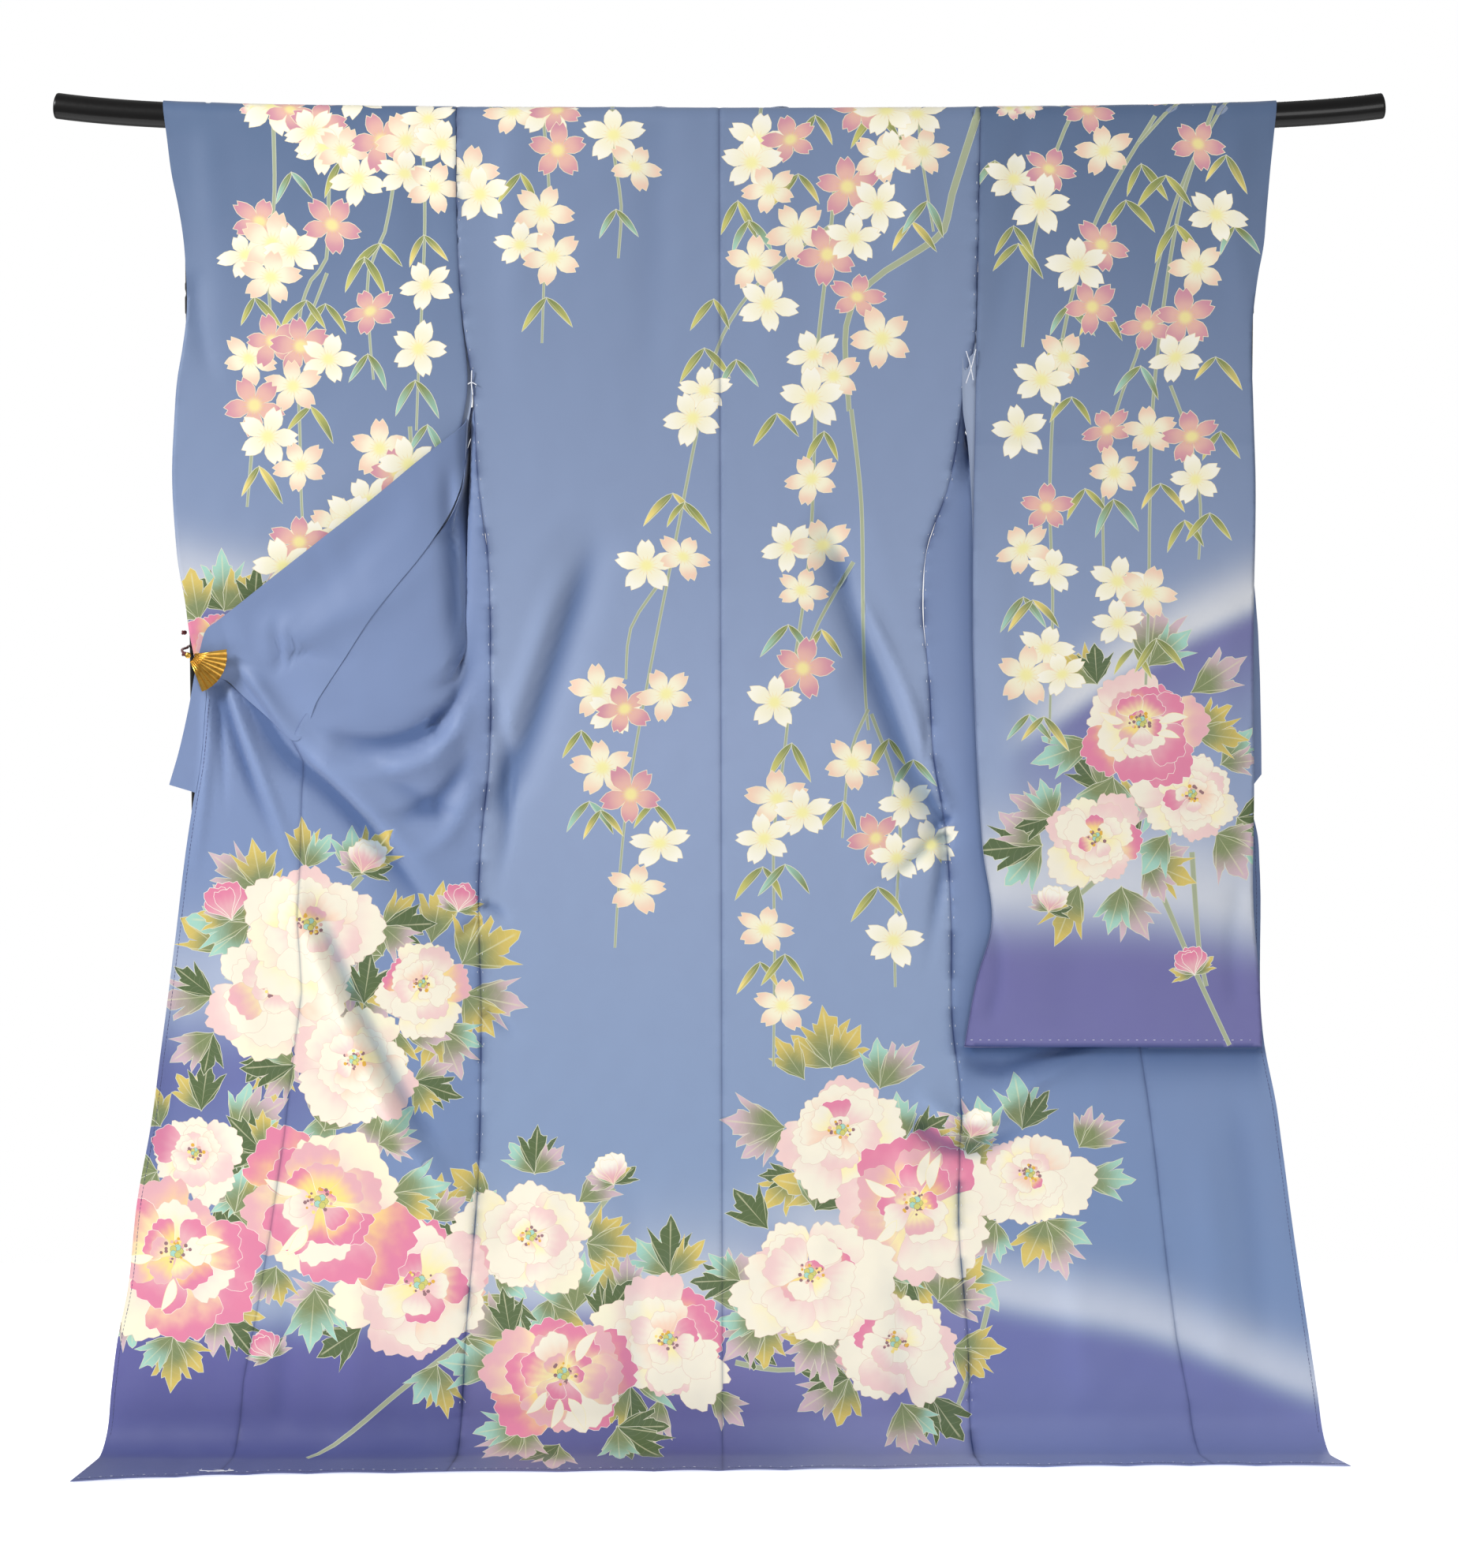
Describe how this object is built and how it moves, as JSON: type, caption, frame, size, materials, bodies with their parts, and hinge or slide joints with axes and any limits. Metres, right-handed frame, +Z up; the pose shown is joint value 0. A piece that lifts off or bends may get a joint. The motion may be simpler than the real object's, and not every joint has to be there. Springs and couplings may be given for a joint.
{
  "type": "furisode kimono on a display stand",
  "caption": "Unlined long-sleeved silk kimono, blue shading to violet with cherry sprays and peonies, hung over a black two-post stand.",
  "frame": {"origin": "on the floor, in the middle of the object's width and depth, under the middle of the rail", "axes": "+X right as seen from the viewing side, +Y away from the viewer, +Z up"},
  "size_m": [1.6636, 0.344, 1.7149],
  "materials": {
    "silk": "smooth silk crepe, dyed, with a soft sheen",
    "lacquer": "black gloss lacquer",
    "gilt": "polished gilt metal",
    "cord": "dark red braided cord"
  },
  "bodies": {
    "root": {"back_left": "silk", "back_right": "silk", "front_left": "silk", "front_right": "silk", "overlap_left": "silk", "overlap_right": "silk", "collar": "silk", "sleeve_left": "silk", "sleeve_right": "silk", "rail": "lacquer", "post_left_upper": "lacquer", "post_left_lower": "lacquer", "post_right_upper": "lacquer", "post_right_lower": "lacquer", "foot_left": "lacquer", "foot_right": "lacquer", "stretcher": "lacquer", "clip_fan": "gilt", "clip_cord": "cord", "clip_knot_low": "cord", "clip_knot_high": "cord"}
  },
  "joints": []
}
